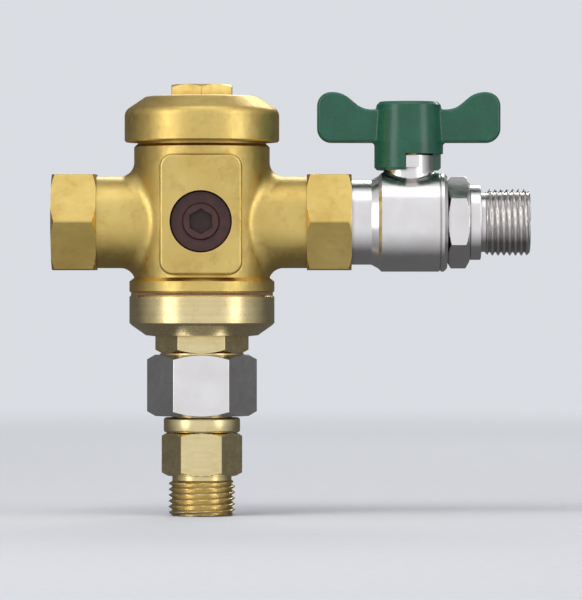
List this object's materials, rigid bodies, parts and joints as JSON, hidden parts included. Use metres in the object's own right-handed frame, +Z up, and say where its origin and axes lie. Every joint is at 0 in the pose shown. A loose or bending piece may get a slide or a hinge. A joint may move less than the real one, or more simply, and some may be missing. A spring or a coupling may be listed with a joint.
{
  "type": "backflow preventer",
  "caption": "Vented brass backflow preventer for an irrigation line, with a drain union below, a plugged test port and a quarter-turn isolating valve on its inlet.",
  "frame": {"origin": "centre of the outlet's threaded mouth, where the next fitting on the line starts", "axes": "+X along the pipe from the outlet towards the inlet, against the flow; +Z up, from the drain towards the cap; the plugged test port faces -Y"},
  "size_m": [0.15, 0.0486, 0.1352],
  "materials": {
    "cast_brass": "satin as-cast brass with a fine grain",
    "machined_brass": "turned brass",
    "nickel_plate": "bright nickel plate",
    "ball_chrome": "polished chrome plate",
    "green_paint": "semi-gloss green lacquer on die-cast aluminium",
    "plug_plastic": "dark brown moulded plastic",
    "fibre_gasket": "pressed fibre",
    "black_rubber": "matt rubber",
    "white_plastic": "moulded white plastic",
    "stainless_steel": "bright spring steel"
  },
  "bodies": {
    "body": {"main_body": "cast_brass", "cap": "cast_brass", "clamp_ring": "machined_brass", "diaphragm": "black_rubber", "stem_guide": "machined_brass", "relief_spring": "stainless_steel", "relief_seat": "machined_brass", "relief_seat_o_ring": "black_rubber", "bonnet": "machined_brass", "bonnet_gasket": "fibre_gasket", "union_nut": "nickel_plate", "union_gasket": "black_rubber", "union_tail": "machined_brass", "drain_adapter": "machined_brass", "test_plug": "plug_plastic", "test_plug_o_ring": "black_rubber", "valve_body": "nickel_plate", "valve_end_piece": "nickel_plate", "valve_joint_seal": "white_plastic", "inlet_ball_seat": "white_plastic", "outlet_ball_seat": "white_plastic", "spindle_washer": "white_plastic", "inlet_check_seat": "white_plastic", "inlet_check_o_ring": "black_rubber", "inlet_check_cage": "white_plastic", "inlet_check_spring": "stainless_steel", "inlet_check_clip": "stainless_steel", "outlet_check_seat": "white_plastic", "outlet_check_o_ring": "black_rubber", "outlet_check_cage": "white_plastic", "outlet_check_spring": "stainless_steel", "outlet_check_clip": "stainless_steel"},
    "handle": {"handle": "green_paint", "handle_screw": "stainless_steel", "valve_spindle": "machined_brass", "spindle_o_rings": "black_rubber", "ball": "ball_chrome"},
    "relief_stem": {"relief_stem": "machined_brass", "relief_disc_holder": "machined_brass", "relief_disc": "black_rubber", "relief_disc_screw": "stainless_steel", "lower_diaphragm_plate": "machined_brass", "upper_diaphragm_plate": "machined_brass", "stem_nut": "stainless_steel"},
    "inlet_check": {"inlet_check_poppet": "white_plastic", "inlet_check_seal": "black_rubber"},
    "outlet_check": {"outlet_check_poppet": "white_plastic", "outlet_check_seal": "black_rubber"}
  },
  "joints": [
    {"name": "handle_turn", "type": "hinge", "parent": "body", "child": "handle", "pos_m": [0.112, 0, 0], "axis": [0, 0, 1], "range_deg": [-90, 0]},
    {"name": "relief_slide", "type": "slide", "parent": "body", "child": "relief_stem", "axis": [0, 0, 1], "range_m": [-0.004, 0], "stiffness_N_per_m": 1500, "springref_m": 0.006, "deforming": ["relief_spring", "diaphragm"]},
    {"name": "inlet_check_slide", "type": "slide", "parent": "body", "child": "inlet_check", "axis": [-1, 0, 0], "range_m": [0, 0.003], "stiffness_N_per_m": 300, "springref_m": -0.006, "deforming": ["inlet_check_spring"]},
    {"name": "outlet_check_slide", "type": "slide", "parent": "body", "child": "outlet_check", "axis": [-1, 0, 0], "range_m": [0, 0.003], "stiffness_N_per_m": 300, "springref_m": -0.006, "deforming": ["outlet_check_spring"]}
  ]
}
